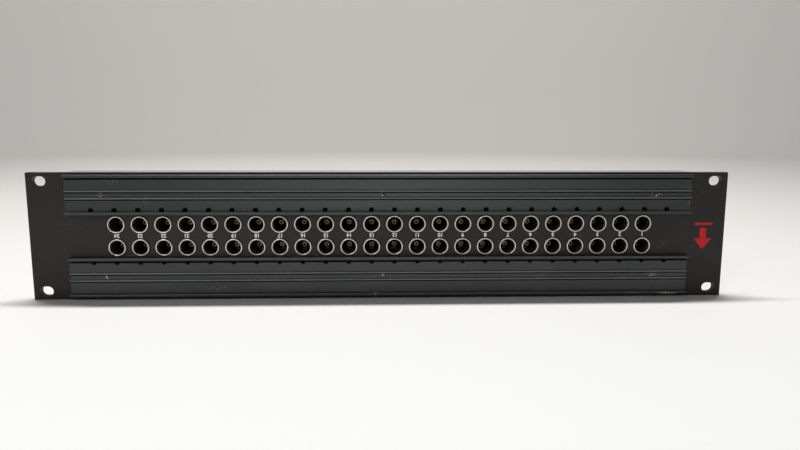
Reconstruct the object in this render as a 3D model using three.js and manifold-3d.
// 19-inch, two-unit coaxial patch bay: 24 plug-in modules, each with one jack in
// the upper row and one in the lower row, on one flat panel.
// Millimetres, +Z up, the front faces -Y. Origin: middle of the bottom of the
// bounding box. It stands on its long lower edge.
import * as THREE from 'three';
import { mergeVertices } from 'three/addons/utils/BufferGeometryUtils.js';
import Module from 'manifold-3d';

// ---- driving dimensions (mm) ----
const PANEL_W = 482.6;          // 19-inch rack panel
const PANEL_H = 88.1;           // two rack units
const PANEL_T = 4.76;            // 3/16 inch plate
const GAP = 0.3;                // clearance between touching pieces
const FIELD_Z = 0.4;            // jack field centre above the plate centre

const RACK_DX = 465.1 / 2;      // rack slot centres
const RACK_DZ = 76.2 / 2;
const SLOT_L = 9.3;
const SLOT_H = 6.8;

const JACKS = 24;
const PITCH = 15.875;           // 5/8 inch between jacks
const ROW_Z = 7.9375;           // half the distance between the rows
const SLEEVE_D = 11.7;
const BORE_D = 10.0;
const SLEEVE_PROUD = 0.8;
const HOLE_D = SLEEVE_D + 2 * GAP;
const BORE_END = 38.0;          // from the panel face
const CONTACT_D = 3.6;
const CONTACT_HOLE_D = 1.9;
const CONTACT_TIP = 10.2;       // from the panel face

const SCREW_Z = 17.8;           // module screws and access holes, from the field centre
const SCREW_D = 3.1;

const MODULE_W = 15.2;
const FLANGE_Z = 21.4;          // half height of the module's mounting flange
const FLANGE_T = 3.5;
const BODY_TOP = 15.4;
const BODY_BOTTOM = -16.7;
const BODY_END = 66.0;
const COLLAR_D = 13.0;
const COLLAR_L = 4.0;
const SHELL_D = 9.6;
const SHELL_L = 13.0;

const SLIDE_Y = 17.0;           // front of the slide's tip, at rest
const SLIDE_L = 3.4;
const SLIDE_TRAVEL = 2.5;
const SLIDE_TIP_W = 3.2;
const SLIDE_TIP_IN = 1.2;       // how far the tip stands into the bore
const SLIDE_FOOT_W = 6.0;
const SLIDE_FOOT_L = 9.0;
const SLIDE_FOOT_H = 1.5;
const SPRING_ROOM = 6.5;         // recess behind the foot at full travel, for the return spring

const CH_LEN = 430.0;           // label channels
const CH_OUT = 42.35;           // outer face, from the field centre
const CH_IN = 14.8;             // inner face
const CH_FLOOR_T = 1.6;
const LIP_H = 2.1;              // height of a lip's face
const LIP_STAND = 2.5;          // lip stands off the floor
const LIP_T = 1.2;              // thickness of the overhanging lip
const LIP_WEB = 1.0;
const RIB_Z = [26.0, 30.95];    // rib centres, from the field centre
const RIB_W = 1.3;
const RIB_H = 1.0;
const RIVET_X = [-190.5, 0, 190.5];
const RIVET_Z = 28.475;
const RIVET_D = 2.1;
const RIVET_HEAD_D = 3.2;
const RIVET_HEAD_T = 0.6;

const RAIL_T = 1.5;             // angle rails behind the long edges
const RAIL_DEPTH = 16.5;
const RAIL_LEG = 19.0;

// ---- frame: the panel's front face lies at Y0, the field centre at Z0 ----
const FRONT = GAP + CH_FLOOR_T + LIP_STAND;
const REAR = BODY_END + COLLAR_L + SHELL_L;
const Y0 = -(REAR - FRONT) / 2;
const ZC = PANEL_H / 2;
const Z0 = ZC + FIELD_Z;

const wasm = await Module();
wasm.setup();

// a closed three.js geometry as a solid that can be joined and cut
function solidOf(geometry) {
  geometry.deleteAttribute('normal');
  geometry.deleteAttribute('uv');
  const g = mergeVertices(geometry, 1e-5);
  return new wasm.Manifold(new wasm.Mesh({
    numProp: 3,
    vertProperties: new Float32Array(g.attributes.position.array),
    triVerts: new Uint32Array(g.index.array),
  }));
}

// an outline of [x, z] points, extruded along Y
function prism(points, y0, y1) {
  const shape = new THREE.Shape(points.map(([x, z]) => new THREE.Vector2(x, z)));
  const g = new THREE.ExtrudeGeometry(shape, { depth: y1 - y0, bevelEnabled: false, curveSegments: 1 });
  g.rotateX(Math.PI / 2);
  g.translate(0, y1, 0);
  return solidOf(g);
}

function box(x0, x1, y0, y1, z0, z1) {
  return prism([[x0, z0], [x1, z0], [x1, z1], [x0, z1]], y0, y1);
}

// a round bar along Y with a whole number of flats
function bar(d, sides, x, z, y0, y1) {
  const r = d / 2;
  const points = [];
  for (let i = 0; i < sides; i++) {
    const a = ((i + 0.5) / sides) * 2 * Math.PI;
    points.push([x + r * Math.cos(a), z + r * Math.sin(a)]);
  }
  return prism(points, y0, y1);
}

function oblong(l, h, x, z, y0, y1) {
  const points = [];
  const r = h / 2;
  const c = (l - h) / 2;
  for (let i = 0; i <= 5; i++) {
    const a = -Math.PI / 2 + (i / 5) * Math.PI;
    points.push([x + c + r * Math.cos(a), z + r * Math.sin(a)]);
  }
  for (let i = 0; i <= 5; i++) {
    const a = Math.PI / 2 + (i / 5) * Math.PI;
    points.push([x - c + r * Math.cos(a), z + r * Math.sin(a)]);
  }
  return prism(points, y0, y1);
}

const bay = new THREE.Group();
bay.name = 'coaxial_patch_bay';
const frame = new THREE.Group();
frame.name = 'frame';
const jackField = new THREE.Group();
jackField.name = 'jack_field';
bay.add(frame, jackField);

function geometryOf(solid) {
  const mesh = solid.getMesh();
  const n = mesh.vertProperties.length / mesh.numProp;
  const pos = new Float32Array(n * 3);
  for (let i = 0; i < n; i++) {
    for (let k = 0; k < 3; k++) pos[3 * i + k] = mesh.vertProperties[i * mesh.numProp + k];
  }
  const g = new THREE.BufferGeometry();
  g.setAttribute('position', new THREE.BufferAttribute(pos, 3));
  g.setIndex(new THREE.BufferAttribute(new Uint32Array(mesh.triVerts), 1));
  g.computeVertexNormals();
  return g;
}

function place(parent, name, geometry, look, x = 0) {
  const m = new THREE.Mesh(geometry, new THREE.MeshStandardMaterial(look));
  m.name = name;
  m.position.x = x;
  parent.add(m);
}

const BLACK_PLATE = { color: 0x2b2826, metalness: 0.3, roughness: 0.5 };
const BLACK_EXTRUSION = { color: 0x3c4043, metalness: 0.6, roughness: 0.4 };
const MILL_ALUMINIUM = { color: 0x8b8d8e, metalness: 0.9, roughness: 0.35 };
const DARK_RIVET = { color: 0x55585a, metalness: 0.9, roughness: 0.4 };
const NICKEL = { color: 0xb9b6ae, metalness: 0.9, roughness: 0.35 };
const INSULATOR = { color: 0xd8d2c0, metalness: 0.0, roughness: 0.5 };

const jackX = (n) => ((JACKS + 1) / 2 - n) * PITCH;
const rows = [Z0 + ROW_Z, Z0 - ROW_Z];
const pad = (n) => String(n).padStart(2, '0');

// ---- front panel ----
{
  let s = box(-PANEL_W / 2, PANEL_W / 2, Y0, Y0 + PANEL_T, 0, PANEL_H);
  const y0 = Y0 - 1;
  const y1 = Y0 + PANEL_T + 1;
  for (let n = 1; n <= JACKS; n++) {
    for (const z of rows) s = s.subtract(bar(HOLE_D, 8, jackX(n), z, y0, y1));
  }
  // the channels' outermost hole at each end has no module behind it and is blind
  for (let n = 1; n <= JACKS; n++) {
    for (const k of [1, -1]) s = s.subtract(bar(SCREW_D, 6, jackX(n), Z0 + k * SCREW_Z, y0, y1));
  }
  for (const x of [-RACK_DX, RACK_DX]) {
    for (const z of [-RACK_DZ, RACK_DZ]) s = s.subtract(oblong(SLOT_L, SLOT_H, x, ZC + z, y0, y1));
  }
  for (const x of RIVET_X) {
    for (const k of [1, -1]) s = s.subtract(bar(RIVET_D + 2 * GAP, 6, x, Z0 + k * RIVET_Z, y0, y1));
  }
  place(frame, 'front_panel', geometryOf(s), BLACK_PLATE);
}

// ---- label channels ----
function channel(k) {
  const h = CH_LEN / 2;
  const back = Y0 - GAP;
  const floor = back - CH_FLOOR_T;
  const top = floor - LIP_STAND;
  const b = (y0, y1, z0, z1) => {
    const a = Z0 + k * z0;
    const c = Z0 + k * z1;
    return box(-h, h, y0, y1, Math.min(a, c), Math.max(a, c));
  };
  let s = b(floor, back, CH_IN, CH_OUT);
  // each lip is a web at the edge with a face that overhangs the floor
  s = s.add(b(top, floor + 0.2, CH_OUT - LIP_WEB, CH_OUT));
  s = s.add(b(top, top + LIP_T, CH_OUT - LIP_H, CH_OUT));
  s = s.add(b(top, floor + 0.2, CH_IN, CH_IN + LIP_WEB));
  s = s.add(b(top, top + LIP_T, CH_IN, CH_IN + LIP_H));
  for (const z of RIB_Z) s = s.add(b(floor - RIB_H, floor + 0.2, z - RIB_W / 2, z + RIB_W / 2));
  for (let n = 0; n <= JACKS + 1; n++) {
    s = s.subtract(bar(SCREW_D, 6, jackX(n), Z0 + k * (SCREW_Z + 0.2), floor - 1, back + 1));
  }
  for (const x of RIVET_X) {
    s = s.subtract(bar(RIVET_D + 2 * GAP, 6, x, Z0 + k * RIVET_Z, floor - 1, back + 1));
  }
  return s;
}
place(frame, 'upper_label_channel', geometryOf(channel(1)), BLACK_EXTRUSION);
place(frame, 'lower_label_channel', geometryOf(channel(-1)), BLACK_EXTRUSION);

// ---- angle rails behind the long edges ----
function rail(k) {
  const h = CH_LEN / 2 + 1.5;
  const y = Y0 + PANEL_T + GAP;
  const edge = k > 0 ? PANEL_H : 0;
  const b = (y0, y1, d) => box(-h, h, y0, y1, Math.min(edge, edge - k * d), Math.max(edge, edge - k * d));
  let s = b(y, y + RAIL_T, RAIL_LEG).add(b(y, y + RAIL_DEPTH, RAIL_T));
  for (const x of RIVET_X) {
    s = s.subtract(bar(RIVET_D + 2 * GAP, 6, x, Z0 + k * RIVET_Z, y - 1, y + RAIL_T + 1));
  }
  return s;
}
place(frame, 'upper_frame_rail', geometryOf(rail(1)), MILL_ALUMINIUM);
place(frame, 'lower_frame_rail', geometryOf(rail(-1)), MILL_ALUMINIUM);

// ---- rivets through channel, panel and rail ----
function rivet(z) {
  const floor = Y0 - GAP - CH_FLOOR_T;
  const back = Y0 + PANEL_T + GAP + RAIL_T;
  return bar(RIVET_D, 6, 0, z, floor - GAP - 0.1, back + GAP + 0.1)
    .add(bar(RIVET_HEAD_D, 6, 0, z, floor - GAP - RIVET_HEAD_T, floor - GAP))
    .add(bar(RIVET_HEAD_D, 6, 0, z, back + GAP, back + GAP + RIVET_HEAD_T));
}
[1, -1].forEach((k, row) => {
  const g = geometryOf(rivet(Z0 + k * RIVET_Z));
  RIVET_X.forEach((x, i) => place(frame, `channel_rivet_${row * 3 + i + 1}`, g, DARK_RIVET, x));
});

// ---- jack modules and their normalling slides ----
const SLIDE_BORE_FLOOR = Z0 - ROW_Z - BORE_D / 2;
const slotY0 = Y0 + SLIDE_Y - GAP;
const slotY1 = Y0 + SLIDE_Y + SLIDE_L + SLIDE_TRAVEL + GAP;
const footY0 = Y0 + SLIDE_Y - (SLIDE_FOOT_L - SLIDE_L) / 2;
const footTop = Z0 + BODY_BOTTOM + SLIDE_FOOT_H + 0.3;

function jackModule() {
  const x = 0;
  const back = Y0 + PANEL_T + GAP;
  const w = MODULE_W / 2;
  let s = box(x - w, x + w, back, back + FLANGE_T, Z0 - FLANGE_Z, Z0 + FLANGE_Z)
    .add(box(x - w, x + w, back + 1, Y0 + BODY_END, Z0 + BODY_BOTTOM, Z0 + BODY_TOP));
  for (const z of rows) {
    s = s.add(bar(SLEEVE_D, 8, x, z, Y0 - SLEEVE_PROUD, back + 1));
    s = s.add(bar(COLLAR_D, 6, x, z, Y0 + BODY_END - 0.5, Y0 + BODY_END + COLLAR_L));
    s = s.add(bar(SHELL_D, 8, x, z, Y0 + BODY_END + COLLAR_L - 0.5, Y0 + REAR));
    s = s.subtract(bar(BORE_D, 8, x, z, Y0 - SLEEVE_PROUD - 1, Y0 + BORE_END));
    s = s.add(
      bar(CONTACT_D, 6, x, z, Y0 + CONTACT_TIP, Y0 + BORE_END + 0.5)
        .subtract(bar(CONTACT_HOLE_D, 4, x, z, Y0 + CONTACT_TIP - 1, Y0 + CONTACT_TIP + 7)),
    );
  }
  // the slide's slot opens into the lower bore; its foot runs in a wider recess below
  const t = SLIDE_TIP_W / 2 + GAP;
  const f = SLIDE_FOOT_W / 2 + GAP;
  s = s.subtract(box(x - t, x + t, slotY0, slotY1, Z0 + BODY_BOTTOM + 1, Z0 - ROW_Z - CONTACT_D));
  s = s.subtract(box(x - f, x + f, footY0 - GAP, footY0 + SLIDE_FOOT_L + SLIDE_TRAVEL + SPRING_ROOM,
    Z0 + BODY_BOTTOM - 1, footTop + GAP));
  return s;
}

function slide() {
  const x = 0;
  const t = SLIDE_TIP_W / 2;
  const f = SLIDE_FOOT_W / 2;
  return box(x - f, x + f, footY0, footY0 + SLIDE_FOOT_L, Z0 + BODY_BOTTOM + 0.3, footTop)
    .add(box(x - t, x + t, Y0 + SLIDE_Y, Y0 + SLIDE_Y + SLIDE_L, footTop - 0.2, SLIDE_BORE_FLOOR + SLIDE_TIP_IN));
}

const moduleGeometry = geometryOf(jackModule());
const slideGeometry = geometryOf(slide());
for (let n = 1; n <= JACKS; n++) {
  place(jackField, `jack_module_${pad(n)}`, moduleGeometry, NICKEL, jackX(n));
  place(jackField, `normalling_slide_${pad(n)}`, slideGeometry, INSULATOR, jackX(n));
}

export default bay;
